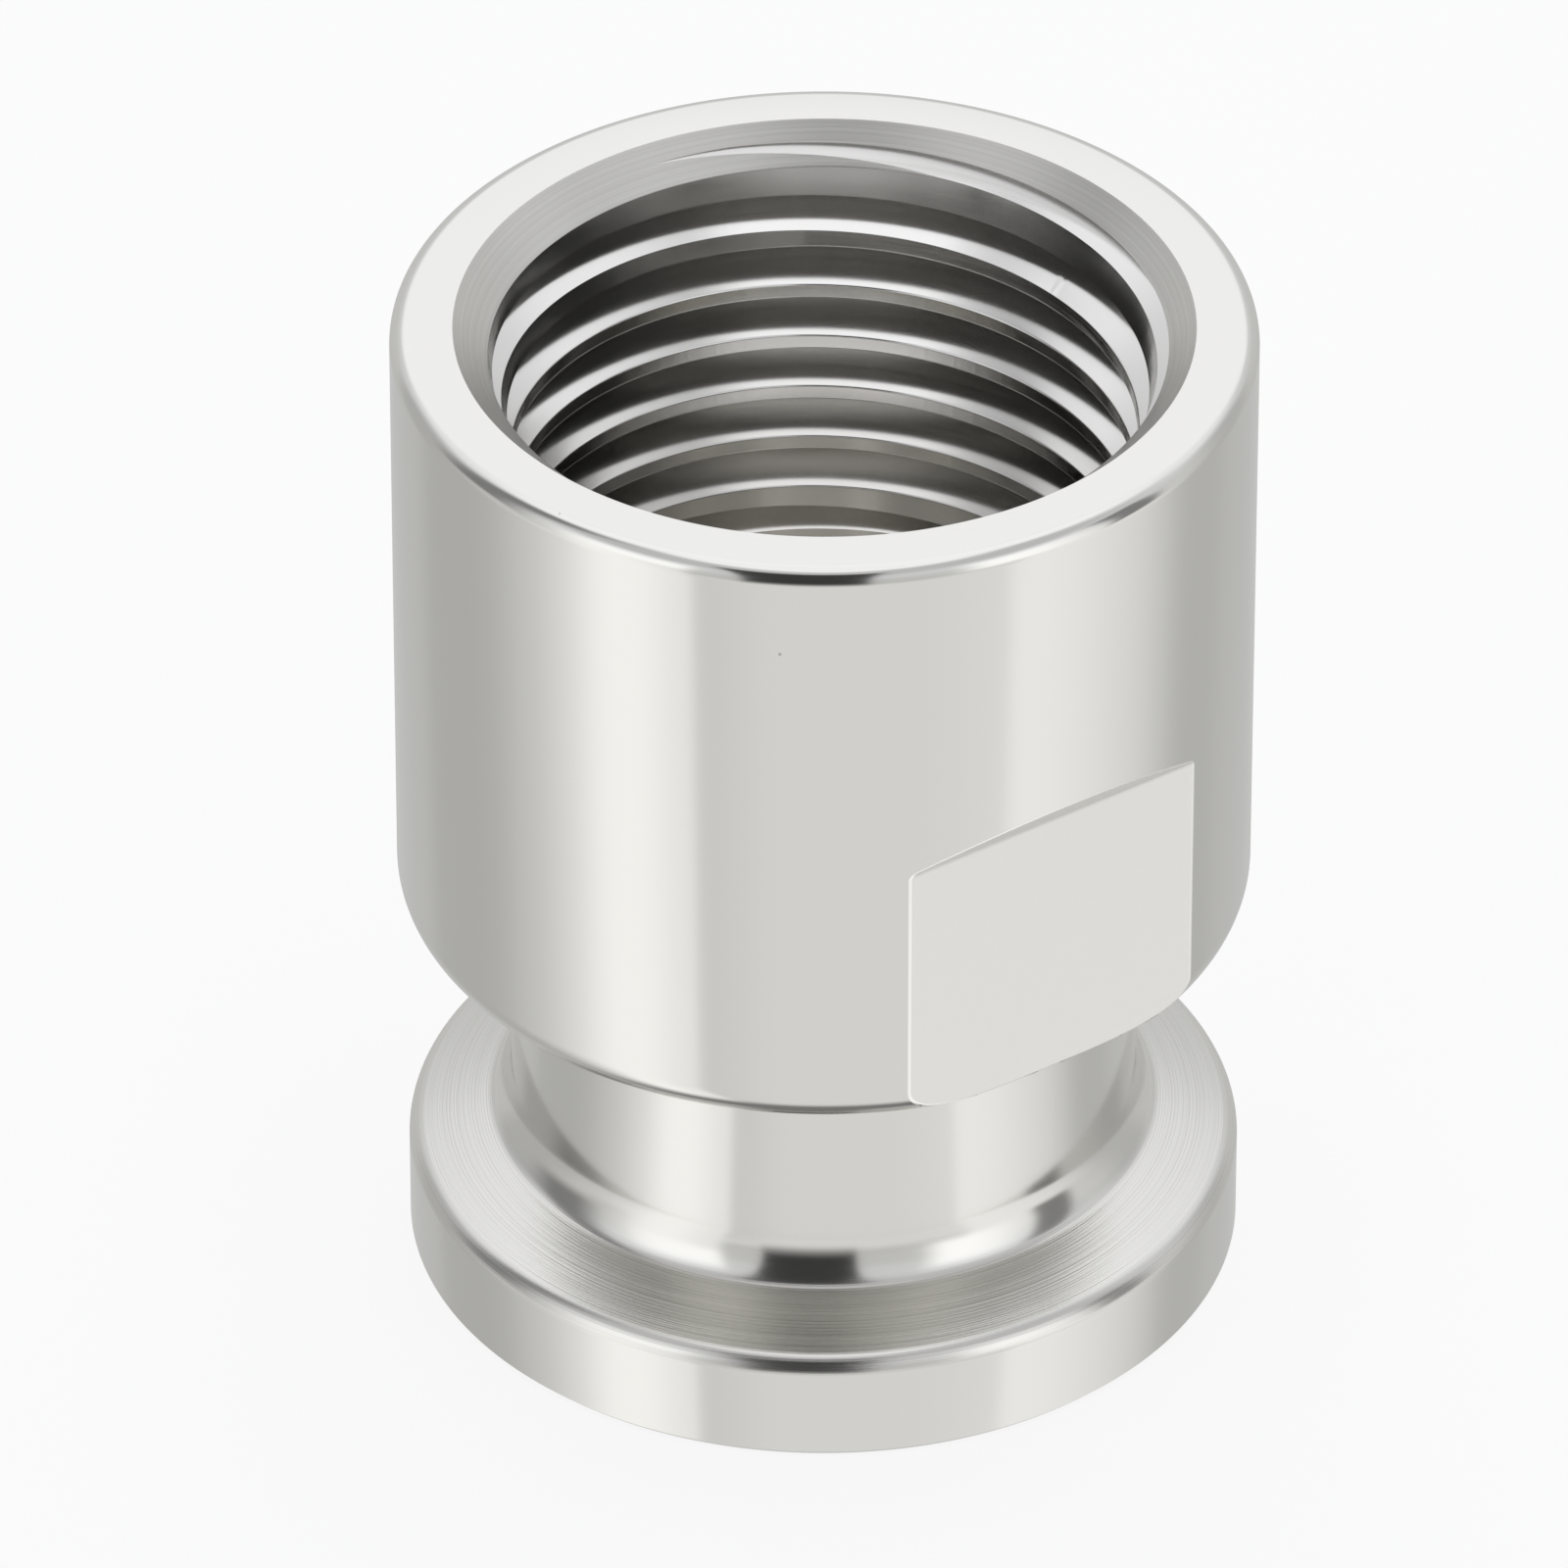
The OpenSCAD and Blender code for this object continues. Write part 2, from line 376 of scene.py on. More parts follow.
def turned_outline(sizes, thread):
    """The whole turned section as one loop, before the thread is cut."""
    outside = sealing_face_outline(sizes) + ferrule_back_outline(sizes) + body_outline(sizes)
    return outside + bore_outline(sizes, thread)


def closed_profile(points):
    """A bmesh that holds one profile as a closed loop of edges in the XZ plane."""
    bm = bmesh.new()
    verts = [bm.verts.new((r, 0, z)) for r, z in points]
    for a, b in zip(verts, verts[1:] + verts[:1]):
        bm.edges.new((a, b))
    return bm


def turn_profile(points, segments):
    """The profile turned once around the axis, as on a lathe."""
    bm = closed_profile(points)
    bmesh.ops.spin(bm, geom=bm.verts[:] + bm.edges[:], cent=(0, 0, 0), axis=(0, 0, 1),
                   angle=math.tau, steps=segments, use_merge=True, use_normal_flip=False,
                   use_duplicate=False, dvec=(0, 0, 0))
    bmesh.ops.remove_doubles(bm, verts=bm.verts, dist=SPIN_JOIN)
    bmesh.ops.recalc_face_normals(bm, faces=bm.faces)
    return bm


def as_object(bm, name, *materials):
    """A new object in the scene that holds the bmesh and its materials."""
    mesh = bpy.data.meshes.new(name)
    bm.to_mesh(mesh)
    bm.free()
    for material in materials:
        mesh.materials.append(material)
    piece = bpy.data.objects.new(name, mesh)
    bpy.context.scene.collection.objects.link(piece)
    return piece


def corners_of(geom):
    """The corners among what a bmesh operator returned."""
    return [part for part in geom if isinstance(part, bmesh.types.BMVert)]


def turned_bar(sizes, thread, turned, tapped):
    """The turned body with its plain bore; the bore below the chamfer has the tapped finish."""
    bm = turn_profile(turned_outline(sizes, thread), sizes.segments)
    reach, groove_depth = in_mm(sizes.chamfer_low, sizes.groove_depth)
    for face in bm.faces:
        middle = face.calc_center_median()
        inward = face.normal.x * middle.x + face.normal.y * middle.y < 0
        if inward and math.hypot(middle.x, middle.y) < reach and middle.z > groove_depth:
            face.material_index = 1
    return as_object(bm, "turned_body", turned, tapped)


def groove_section(thread):
    """The thread groove's section, as radius at the mouth and height off its middle."""
    pitch, pitch_r = in_mm(thread.pitch, thread.pitch_radius)
    crest_r, worn = in_mm(thread.crest_radius, thread.crest_round)
    flank = math.tan(thread.flank_angle)
    root_r = pitch_r + thread.root_share * pitch
    half_crest = pitch / 4 + (pitch_r - crest_r) * flank
    half_root = pitch / 4 - (root_r - pitch_r) * flank

    # The worn edge is an arc that touches the flank and almost touches the land
    turn = math.pi / 2 - thread.flank_angle
    edge_r = worn / math.tan(turn / 2)
    edge = arc((crest_r + edge_r, half_crest + worn), edge_r,
               180 + WORN_GAP, 180 + math.degrees(turn), steps=5)
    half = [(crest_r - THREAD_OVERCUT, edge[0][1])] + edge + [(root_r, half_root)]
    return half + [(r, -z) for r, z in reversed(half)]


def thread_tool(sizes, thread, material):
    """What the tap takes away: the groove swept down from above the mouth, as one closed solid."""
    pitch, mouth, length = in_mm(thread.pitch, sizes.mouth_height, thread.length)
    thread_end = mouth - length
    start_z = mouth + pitch
    # At the pitch line the groove reaches a quarter of the pitch below its middle
    groove_turns = (start_z - thread_end) / pitch - 1 / 4

    bm = closed_profile(groove_section(thread))
    bmesh.ops.translate(bm, vec=(0, 0, start_z), verts=bm.verts)
    bmesh.ops.rotate(bm, cent=(0, 0, 0), matrix=Matrix.Rotation(thread.direction, 3, "Z"), verts=bm.verts)
    bmesh.ops.spin(bm, geom=bm.verts[:] + bm.edges[:], cent=(0, 0, 0), axis=(0, 0, 1),
                   angle=-math.tau, dvec=(0, 0, -pitch / thread.steps), steps=thread.steps,
                   use_merge=False, use_normal_flip=False, use_duplicate=False)
    first_turn = bm.verts[:] + bm.edges[:] + bm.faces[:]
    for turn in range(1, math.ceil(groove_turns)):
        copied = bmesh.ops.duplicate(bm, geom=first_turn)["geom"]
        bmesh.ops.translate(bm, vec=(0, 0, -pitch * turn), verts=corners_of(copied))
    bmesh.ops.remove_doubles(bm, verts=bm.verts, dist=TURN_JOIN)

    # The tool draws back towards the axis at the groove's lower end, and the whole thread tapers
    depth = (thread.pitch_radius - thread.crest_radius) / MM + thread.root_share * pitch + THREAD_OVERCUT
    for vert in bm.verts:
        radius = math.hypot(vert.co.x, vert.co.y)
        shared = ((thread.direction - math.atan2(vert.co.y, vert.co.x)) / math.tau) % 1
        turn = round((start_z - vert.co.z) / pitch - shared) + shared
        left = (groove_turns - turn) * math.tau / thread.runout
        kept = radius - depth * min(1, max(0, 1 - left)) - (mouth - vert.co.z) * thread.taper / 2
        vert.co.x *= kept / radius
        vert.co.y *= kept / radius

    bmesh.ops.holes_fill(bm, edges=[edge for edge in bm.edges if edge.is_boundary], sides=0)
    bmesh.ops.recalc_face_normals(bm, faces=bm.faces)
    return as_object(bm, "thread_tool", material)


def flat_cutter(sizes, flats, side, material):
    """What the mill takes away for one wrench flat, with its sloped run-out."""
    body_r, foot = in_mm(sizes.body_radius, sizes.body_foot)
    cut, length, nose = in_mm(flats.cut, flats.length, flats.nose)
    slope = flats.runout_slope
    flat_r = body_r - cut
    top = foot + length
    reach = cut + FLAT_OVERCUT
    # The mill's nose leaves a small radius between the flat and its run-out
    nose_z = top - nose * math.tan((math.pi / 2 - slope) / 2)
    outline = [(flat_r, foot - FLAT_OVERCUT)]
    outline += arc((flat_r + nose, nose_z), nose, 180, 90 + math.degrees(slope), steps=8)
    outline += [(flat_r + reach, top + reach * math.tan(slope)), (flat_r + reach, foot - FLAT_OVERCUT)]

    bm = bmesh.new()
    face = bm.faces.new([bm.verts.new((r, -body_r, z)) for r, z in outline])
    drawn = bmesh.ops.extrude_face_region(bm, geom=[face])["geom"]
    bmesh.ops.translate(bm, vec=(0, 2 * body_r, 0), verts=corners_of(drawn))
    turn = Matrix.Rotation(flats.direction + side, 3, "Z")
    bmesh.ops.rotate(bm, cent=(0, 0, 0), matrix=turn, verts=bm.verts)
    bmesh.ops.recalc_face_normals(bm, faces=bm.faces)
    return as_object(bm, "flat_cutter", material)


def cut_away(body, cutter):
    """Takes the cutter's shape and its finish out of the body, then deletes the cutter."""
    boolean = body.modifiers.new("Cut", "BOOLEAN")
    boolean.operation = "DIFFERENCE"
    boolean.solver = "EXACT"
    boolean.material_mode = "TRANSFER"
    boolean.object = cutter
    graph = bpy.context.evaluated_depsgraph_get()
    cut_mesh = bpy.data.meshes.new_from_object(body.evaluated_get(graph))
    old_mesh = body.data
    body.modifiers.clear()
    body.data = cut_mesh
    cut_mesh.name = body.name
    bpy.data.meshes.remove(old_mesh)
    tool_mesh = cutter.data
    bpy.data.objects.remove(cutter)
    bpy.data.meshes.remove(tool_mesh)


def finish_mesh(body, flats, worn_highlight_steel):
    """Joins loose corners, wears the flats' edges in a brighter steel that paints their highlight, smooths
    the turned faces and scales to metres.
    """
    milled = body.data.materials.find("milled_steel")
    body.data.materials.append(worn_highlight_steel)
    worn = body.data.materials.find(worn_highlight_steel.name)

    bm = bmesh.new()
    bm.from_mesh(body.data)
    bmesh.ops.remove_doubles(bm, verts=bm.verts, dist=CUT_JOIN)
    bmesh.ops.dissolve_degenerate(bm, edges=bm.edges, dist=SHORTEST_EDGE)
    rims = [edge for edge in bm.edges
            if sum(face.material_index == milled for face in edge.link_faces) == 1]
    bevelled = bmesh.ops.bevel(bm, geom=rims, offset=flats.worn / MM, offset_type="OFFSET", segments=2,
                               profile=0.5, affect="EDGES", clamp_overlap=False, material=-1)
    # The worn bevels take the worn steel, whose raised colour paints a highlight along them
    for face in bevelled["faces"]:
        face.material_index = worn
    bmesh.ops.remove_doubles(bm, verts=bm.verts, dist=CUT_JOIN)
    bmesh.ops.recalc_face_normals(bm, faces=bm.faces)

    for face in bm.faces:
        face.smooth = True
    for edge in bm.edges:
        finishes = {face.material_index for face in edge.link_faces}
        milled_border = len(finishes) > 1 and finishes & {milled, worn}
        edge.smooth = edge.is_manifold and edge.calc_face_angle() < SHARP_TURN and not milled_border
    bmesh.ops.scale(bm, vec=(MM, MM, MM), verts=bm.verts)
    bm.to_mesh(body.data)
    bm.free()


class Tree:
    """Adds and wires the nodes of one material or world."""

    def __init__(self, owner):
        owner.use_nodes = True
        self.tree = owner.node_tree
        self.tree.nodes.clear()

    def add(self, kind, inputs=None, **settings):
        """A node of that kind; inputs go by name or number, and settings are the node's own."""
        node = self.tree.nodes.new("ShaderNode" + kind)
        for key, value in settings.items():
            setattr(node, key, value)
        for key, value in (inputs or {}).items():
            if isinstance(value, bpy.types.NodeSocket):
                self.tree.links.new(value, node.inputs[key])
            else:
                node.inputs[key].default_value = value
        return node

    def output(self, kind, shader):
        """Wires the shader to the material's surface or to the world."""
        out = self.add(kind)
        self.tree.links.new(shader, out.inputs["Surface"])

    def math(self, operation, *values):
        """One step of arithmetic."""
        return self.add("Math", operation=operation, inputs=dict(enumerate(values))).outputs[0]

    def smooth(self, value, low, high, out_low=0.0, out_high=1.0):
        """A soft step of the value from low to high."""
        return self.add("MapRange", interpolation_type="SMOOTHSTEP", inputs={
            "Value": value, "From Min": low, "From Max": high,
            "To Min": out_low, "To Max": out_high}).outputs["Result"]

    def share(self, value, low, high):
        """The value as a share of the way from low to high."""
        return self.add("MapRange", inputs={
            "Value": value, "From Min": low, "From Max": high}).outputs["Result"]

    def blend(self, share, low, high):
        """A mix of two numbers."""
        return self.add("Mix", data_type="FLOAT", inputs={
            "Factor": share, "A": low, "B": high}).outputs["Result"]

    def tint(self, share, first, second):
        """A mix of two colours."""
        return self.add("Mix", data_type="RGBA", inputs={
            "Factor": share, "A": (*first, 1), "B": (*second, 1)}).outputs["Result"]


# How many of the lathe's rings there are in a millimetre: fine ones, those left inside the
# thread, and the slow waves under both
FINE_RINGS = 24.0
THREAD_RINGS = 4.0
SLOW_RINGS = 2.6

# How deep the fine rings are on polished faces, how much deeper they are on the marked ones,
# and how deep the slow rings and the pits are beside them
POLISHED_DEPTH = 0.15
TAPER_DEPTH = 6.0
CHAMFER_DEPTH = 4.0
MOUTH_DEPTH = 0.8
SLOW_DEPTH = 0.3
PIT_DEPTH = 3.0

# What a depth of 1 is in metres, on turned, tapped and milled steel
TURNED_RELIEF = 1e-6
TAPPED_RELIEF = 3e-7
MILLED_RELIEF = 8e-7

# How much the roughness varies in soft patches and along the rings, and how much it grows on
# the chamfer and on the tapered back
PATCH_ROUGHNESS = 0.03
RING_ROUGHNESS = 0.08
CHAMFER_ROUGHNESS = 0.26
TAPER_ROUGHNESS = 0.08

# The dark colour in the pits of turned and of milled steel, and how far the steel goes towards
# it in a pit, and, as painted shade, in a deep ring and in the lowest turns of the thread
TURNED_DARK = (0.30, 0.27, 0.23)
MILLED_DARK = (0.42, 0.39, 0.35)
PIT_DARKER = 0.6
RING_PAINTED_SHADE = 0.15
THREAD_PAINTED_SHADE = 0.22


def place_in_mm(tree, turn=0.0):
    """Place on the piece in millimetres, turned about the axis."""
    place = tree.add("TexCoord").outputs["Object"]
    return tree.add("Mapping", inputs={
        "Vector": place, "Rotation": (0, 0, turn), "Scale": (1 / MM, 1 / MM, 1 / MM)}).outputs["Vector"]


def around_axis(tree, place):
    """The distance from the axis and the height."""
    x, y, z = tree.add("SeparateXYZ", inputs={"Vector": place}).outputs
    radius = tree.math("SQRT", tree.math("ADD", tree.math("MULTIPLY", x, x), tree.math("MULTIPLY", y, y)))
    return radius, z


def noise(tree, place, scale, detail, roughness):
    """Soft noise, as a value from 0 to 1."""
    return tree.add("TexNoise", inputs={
        "Vector": place, "Scale": scale, "Detail": detail, "Roughness": roughness}).outputs["Fac"]


def ring_marks(tree, radius, z, per_mm):
    """Fine rings left by the lathe tool, as a value from 0 to 1."""
    spot = tree.add("CombineXYZ", inputs={
        "X": tree.math("MULTIPLY", radius, per_mm), "Y": tree.math("MULTIPLY", z, per_mm)})
    return noise(tree, spot.outputs["Vector"], scale=1.0, detail=2.0, roughness=0.5)


def specks(tree, place, cell, size, share):
    """Small scattered pits: 1 inside a pit and 0 outside."""
    cells = tree.add("TexVoronoi", inputs={"Vector": place, "Scale": 1 / cell, "Randomness": 1.0})
    number = tree.add("SeparateColor", inputs={"Color": cells.outputs["Color"]}).outputs[0]
    chosen = tree.math("LESS_THAN", number, share)
    inside = tree.smooth(cells.outputs["Distance"], size / cell, 0.5 * size / cell)
    return tree.math("MULTIPLY", chosen, inside)


def marked_faces(tree, radius, z, sizes):
    """Where the tapered back, the chamfer and the mouth's face are, each from 0 to 1."""
    mouth, back, chamfer_r = in_mm(sizes.mouth_height, sizes.ferrule_height, sizes.chamfer_radius)
    # Each border is a soft step between two heights or two radii
    taper = tree.math("MULTIPLY",
                      tree.smooth(z, back - 0.5, back - 0.3), tree.smooth(z, back + 1.3, back + 0.9))
    chamfer = tree.math("MULTIPLY",
                        tree.smooth(z, mouth - 1.08, mouth - 1.0),
                        tree.smooth(radius, chamfer_r + 0.03, chamfer_r - 0.01))
    face = tree.smooth(z, mouth - 0.06, mouth - 0.02)
    return taper, chamfer, face


def metal(tree, colour, roughness, height, depth):
    """Bare metal of that colour, with the height as relief of that depth in metres."""
    bump = tree.add("Bump", inputs={"Strength": 1.0, "Distance": depth, "Height": height})
    shader = tree.add("BsdfPrincipled", inputs={
        "Base Color": colour, "Metallic": 1.0, "Roughness": roughness, "Normal": bump.outputs["Normal"]})
    tree.output("OutputMaterial", shader.outputs["BSDF"])


def steel(name, colour, roughness, relief, sizes, pits=0.05, per_mm=FINE_RINGS, deep_painted_shade=0.0):
    """Bare stainless steel with lathe rings, small pits, an uneven polish and painted shade in the cones'
    deep rings and deep in the mouth.

    The pits are a share of the places for one, and deep_painted_shade is how much painted shade darkens it
    deep in the mouth.
    """
    material = bpy.data.materials.new(name)
    tree = Tree(material)
    place = place_in_mm(tree)
    radius, z = around_axis(tree, place)
    fine = ring_marks(tree, radius, z, per_mm)
    slow = ring_marks(tree, radius, z, SLOW_RINGS)
    patchy = noise(tree, place, scale=0.35, detail=4.0, roughness=0.6)
    pit = specks(tree, place, cell=1.3, size=0.07, share=pits)

    # The tapered back, the chamfer and the mouth's face kept more of the tool's rings
    taper, chamfer, face = marked_faces(tree, radius, z, sizes)
    cut = tree.math("MULTIPLY_ADD", chamfer, CHAMFER_DEPTH, POLISHED_DEPTH)
    cut = tree.math("MULTIPLY_ADD", taper, TAPER_DEPTH, cut)
    cut = tree.math("MULTIPLY_ADD", face, MOUTH_DEPTH, cut)

    # The polish varies in soft patches and along the rings, and the two cones are duller
    rough = tree.math("MULTIPLY_ADD", patchy, PATCH_ROUGHNESS, roughness - PATCH_ROUGHNESS / 2)
    rough = tree.math("MULTIPLY_ADD", tree.math("SUBTRACT", fine, 0.5), RING_ROUGHNESS, rough)
    rough = tree.math("MULTIPLY_ADD", chamfer, CHAMFER_ROUGHNESS, rough)
    rough = tree.math("MULTIPLY_ADD", taper, TAPER_ROUGHNESS, rough)

    # Pits are darker, and painted shade darkens the bottoms of deep rings on the cones and the lower turns
    # of the thread
    mouth = sizes.mouth_height / MM
    # Painted shade: the colour darkens towards the lowest turns of the thread
    low = tree.smooth(z, mouth - 6, mouth - 12, 0.0, deep_painted_shade)
    # Painted shade in the bottoms of the fine rings on the tapered back and the chamfer
    deep = tree.math("MULTIPLY", tree.smooth(fine, 0.55, 0.35), tree.math("MAXIMUM", taper, chamfer))
    darker = tree.math("MULTIPLY_ADD", pit, PIT_DARKER, tree.math("MULTIPLY_ADD", deep, RING_PAINTED_SHADE, low))
    shade = tree.tint(darker, colour, TURNED_DARK)

    height = tree.math("MULTIPLY_ADD", slow, SLOW_DEPTH, tree.math("MULTIPLY", fine, cut))
    height = tree.math("SUBTRACT", height, tree.math("MULTIPLY", pit, PIT_DEPTH))
    metal(tree, shade, rough, height, relief)
    return material


def milled_steel(name, colour, roughness, direction):
    """Matte milled steel: short straight tool lines and scattered nicks."""
    material = bpy.data.materials.new(name)
    tree = Tree(material)
    place = place_in_mm(tree, -direction)
    along = tree.add("Mapping", inputs={"Vector": place, "Scale": (1, 1.2, 14)}).outputs["Vector"]
    lines = noise(tree, along, scale=1.0, detail=3.0, roughness=0.5)
    grain = noise(tree, place, scale=7.0, detail=5.0, roughness=0.7)
    pit = specks(tree, place, cell=0.7, size=0.04, share=0.12)

    uneven, nick_depth, nick_darker = 0.1, 2.0, 0.4
    rough = tree.math("MULTIPLY_ADD", grain, uneven, roughness - uneven / 2)
    shade = tree.tint(tree.math("MULTIPLY", pit, nick_darker), colour, MILLED_DARK)
    height = tree.math("SUBTRACT", tree.math("ADD", lines, grain), tree.math("MULTIPLY", pit, nick_depth))
    metal(tree, shade, rough, height, MILLED_RELIEF)
    return material


class ADAPTER_OT_turned_body(bpy.types.Operator):
    """Turns the body, taps its thread and mills its flats"""

    bl_idname = "adapter.turned_body"
    bl_label = "Turned Body"
    bl_options = {"REGISTER", "UNDO"}

    def execute(self, context):
        scene = context.scene
        sizes, thread = scene.adapter_sizes, scene.adapter_thread
        flats, finish = scene.adapter_flats, scene.adapter_finish
        turned = steel("turned_steel", tuple(finish.steel), finish.turned_roughness, TURNED_RELIEF, sizes)
        # The tapped steel's colour is raised as painted light, and its lowest turns get painted shade
        tapped = steel("tapped_steel", tuple(finish.tapped), finish.thread_roughness, TAPPED_RELIEF, sizes,
                       pits=0.15, per_mm=THREAD_RINGS, deep_painted_shade=THREAD_PAINTED_SHADE)
        milled = milled_steel("milled_steel", tuple(finish.milled), finish.milled_roughness,
                              flats.direction)
        # The flats' worn edges: real wear, in a colour raised to paint their highlight
        worn = steel("worn_highlight_steel", tuple(finish.worn), finish.milled_roughness / 2, TURNED_RELIEF, sizes)

        body = turned_bar(sizes, thread, turned, tapped)
        cut_away(body, thread_tool(sizes, thread, tapped))
        for side in (0, math.pi):
            cut_away(body, flat_cutter(sizes, flats, side, milled))
        finish_mesh(body, flats, worn)
        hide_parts(NODE)
        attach(body, "root")
        return {"FINISHED"}


# The light of a soft tent: each panel is a patch of sky, given by where it starts and ends
# around the object, from the camera's side towards +X, and up from the horizon, in degrees,
# with the softness of each edge and its brightness
TENT = (
    # from, to, soft_from, soft_to, low, high, soft_low, soft_high, level
    (-84, 96, 20, 18, -95, -14, 1, 7, 0.86),
    (-132, -100, 6, 12, -95, 26, 1, 14, 0.53),
    (110, 130, 10, 6, -95, 26, 1, 14, 0.56),
    (-200, -150, 1, 10, 27, 50, 5, 5, 1.16),
    (150, 200, 10, 1, 27, 50, 5, 5, 1.16),
    (-70, -34, 14, 2.5, -95, 44, 1, 8, 1.05),
    (-64, -44, 8, 8, -95, 44, 1, 8, 1.20),
    (-34, -22, 2, 12, -95, -20, 1, 6, 0.77),
    (46, 88, 26, 26, -95, 12, 1, 12, 0.96),
    (50, 72, 3, 16, -95, 44, 1, 8, 1.08),
    (-60, -34, 10, 3, 4, 46, 8, 8, 1.30),
    (36, 60, 6, 12, -8, 46, 8, 8, 1.32),
    (-110, 110, 20, 20, 34, 70, 14, 5, 0.64),
    (-106, -82, 8, 8, -5, 60, 8, 8, 0.25),
    (74, 89, 3, 3, -12, 34, 4, 5, 0.25),
    (-200, 200, 1, 1, -95, -68, 1, 9, 0.22),
)

# The even light behind the panels: its brightness at each angle up from the horizon
SKY = ((-90, 0.58), (-36, 0.59), (8, 0.68), (24, 0.78), (42, 1.02), (60, 1.20), (90, 1.16))

# The dark opening for the lens: its soft left and right sides as shares across, its soft lower
# and upper edges in degrees up, and its brightness
LENS_LEFT = (-0.35, -0.325)
LENS_RIGHT = (0.20, 0.175)
LENS_LOW = (-27, 3)
LENS_HIGH = (57, 54)
LENS_LEVEL = 0.05

# The light from above is a little cooler than the light off the table
TABLE_LIGHT = (1, 1, 1)
COOL_LIGHT = (0.99, 0.995, 1.02)


def sky_level(tree, up):
    """The brightness of the even light at that angle up."""
    ramp = tree.add("ValToRGB", inputs={"Fac": tree.share(up, -90, 90)})
    ramp.color_ramp.interpolation = "EASE"
    elements = ramp.color_ramp.elements
    while len(elements) < len(SKY):
        elements.new(0.5)
    for element, (angle, level) in zip(elements, SKY):
        element.position = (angle + 90) / 180
        element.color = (level, level, level, 1)
    return tree.add("SeparateColor", inputs={"Color": ramp.outputs["Color"]}).outputs[0]


def tent_world(world):
    """Even light all round, with the panels painted over it one after another."""
    tree = Tree(world)
    away = tree.add("TexCoord").outputs["Generated"]
    x, y, z = tree.add("SeparateXYZ", inputs={"Vector": away}).outputs
    to_degrees = math.degrees(1)
    around = tree.math("MULTIPLY", tree.math("ARCTAN2", x, tree.math("MULTIPLY", y, -1.0)), to_degrees)
    up = tree.math("MULTIPLY", tree.math("ARCSINE", z), to_degrees)

    level = sky_level(tree, up)
    for start, end, soft_start, soft_end, low, high, soft_low, soft_high, strength in TENT:
        inside = tree.math("MULTIPLY",
                           tree.smooth(around, start - soft_start, start + soft_start),
                           tree.smooth(around, end + soft_end, end - soft_end))
        inside = tree.math("MULTIPLY", inside, tree.smooth(up, low - soft_low, low + soft_low))
        inside = tree.math("MULTIPLY", inside, tree.smooth(up, high + soft_high, high - soft_high))
        level = tree.blend(inside, level, strength)

    # The opening for the lens has upright sides, so it is given across and up
    across = tree.math("MULTIPLY", tree.smooth(x, *LENS_LEFT), tree.smooth(x, *LENS_RIGHT))
    across = tree.math("MULTIPLY", across, tree.math("LESS_THAN", y, 0.0))
    upright = tree.math("MULTIPLY", tree.smooth(up, *LENS_LOW), tree.smooth(up, *LENS_HIGH))
    level = tree.blend(tree.math("MULTIPLY", across, upright), level, LENS_LEVEL)

    # The camera itself sees plain white behind the floor
    seen = tree.add("LightPath").outputs["Is Camera Ray"]
    cool = tree.tint(tree.smooth(up, -10, 30), TABLE_LIGHT, COOL_LIGHT)
    colour = tree.add("Mix", data_type="RGBA", inputs={
        "Factor": seen, "A": cool, "B": (1, 1, 1, 1)}).outputs["Result"]
    light = tree.add("Background", inputs={"Color": colour, "Strength": tree.blend(seen, level, 1.0)})
    tree.output("OutputWorld", light.outputs["Background"])


def pale_floor():
    """Nearly white to the camera, with the object's soft shadow kept in it."""
    material = bpy.data.materials.new("pale_floor")
    tree = Tree(material)
    lit = tree.add("BsdfDiffuse", inputs={"Color": (0.97, 0.97, 0.97, 1)})
    white = tree.add("Emission", inputs={"Color": (1, 1, 1, 1), "Strength": 1.0})
    seen = tree.add("LightPath").outputs["Is Camera Ray"]
    # The rest of what the camera sees is the lit floor, which holds the shadow
    white_share = tree.math("MULTIPLY", seen, 0.85)
    mixed = tree.add("MixShader", inputs={
        0: white_share, 1: lit.outputs["BSDF"], 2: white.outputs["Emission"]})
    tree.output("OutputMaterial", mixed.outputs["Shader"])
    return material


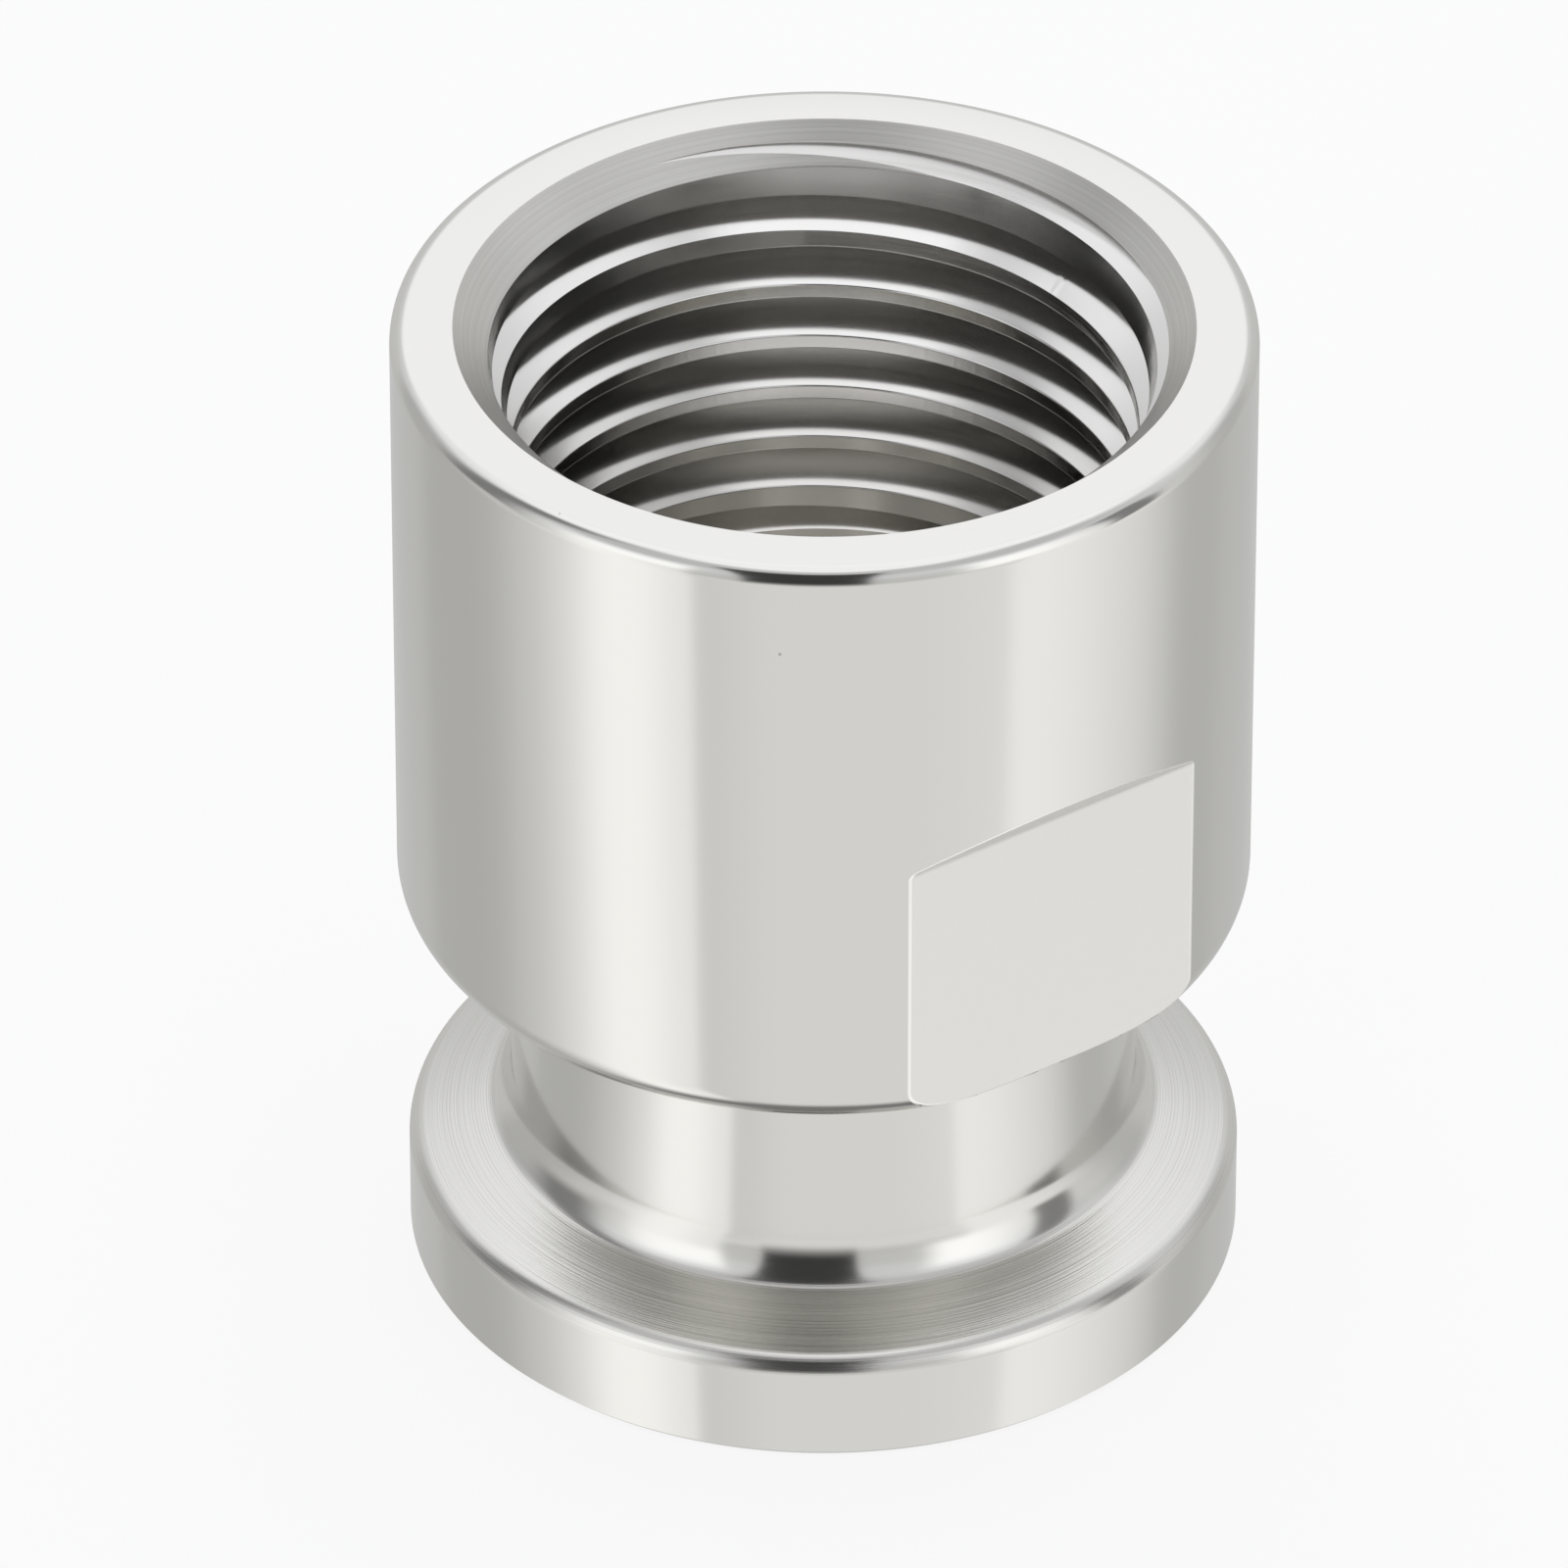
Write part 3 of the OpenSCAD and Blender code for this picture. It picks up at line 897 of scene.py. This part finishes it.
class ADAPTER_OT_studio(bpy.types.Operator):
    """Sets up the pale floor, the soft light and the camera"""

    bl_idname = "adapter.studio"
    bl_label = "Studio"
    bl_options = {"REGISTER", "UNDO"}

    def execute(self, context):
        scene = context.scene
        studio = scene.adapter_studio
        if scene.world is None:
            scene.world = bpy.data.worlds.new("Studio")
        tent_world(scene.world)

        bm = bmesh.new()
        bmesh.ops.create_grid(bm, x_segments=1, y_segments=1, size=studio.floor_size / 2)
        floor = as_object(bm, "studio_floor", pale_floor())
        floor.location.z = -FLOOR_GAP
        floor.visible_glossy = False

        camera = bpy.data.objects.new("Camera", bpy.data.cameras.new("Camera"))
        scene.collection.objects.link(camera)
        camera.location = studio.camera_place
        camera.rotation_euler = (studio.camera_tilt, 0, studio.camera_turn)
        camera.data.sensor_width = 36
        camera.data.lens = studio.lens
        camera.data.clip_start = 0.01
        scene.camera = camera
        scene.view_settings.view_transform = "Standard"
        return {"FINISHED"}


class ADAPTER_PT_panel(bpy.types.Panel):
    """Sizes, finish and studio of the adapter"""

    bl_idname = "ADAPTER_PT_panel"
    bl_label = "Clamp Adapter"
    bl_space_type = "VIEW_3D"
    bl_region_type = "UI"
    bl_category = "Adapter"

    def draw(self, context):
        layout = self.layout
        for operator in OPERATORS:
            layout.operator(operator.bl_idname)
        for name, group in GROUPS.items():
            box = layout.box()
            box.label(text=name.replace("adapter_", "").capitalize())
            for key in group.__annotations__:
                box.prop(getattr(context.scene, name), key)


GROUPS = {
    "adapter_sizes": ADAPTER_PG_sizes,
    "adapter_thread": ADAPTER_PG_thread,
    "adapter_flats": ADAPTER_PG_flats,
    "adapter_finish": ADAPTER_PG_finish,
    "adapter_studio": ADAPTER_PG_studio,
}
OPERATORS = (ADAPTER_OT_turned_body, ADAPTER_OT_studio)
CLASSES = (*GROUPS.values(), *OPERATORS, ADAPTER_PT_panel)


def register():
    for cls in CLASSES:
        bpy.utils.register_class(cls)
    for name, group in GROUPS.items():
        setattr(bpy.types.Scene, name, bpy.props.PointerProperty(type=group))


def unregister():
    for name in GROUPS:
        delattr(bpy.types.Scene, name)
    for cls in reversed(CLASSES):
        bpy.utils.unregister_class(cls)


def main():
    """Registers the add-on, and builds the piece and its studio."""
    register()
    bpy.ops.adapter.turned_body()
    bpy.ops.adapter.studio()


if __name__ == "__main__":
    main()
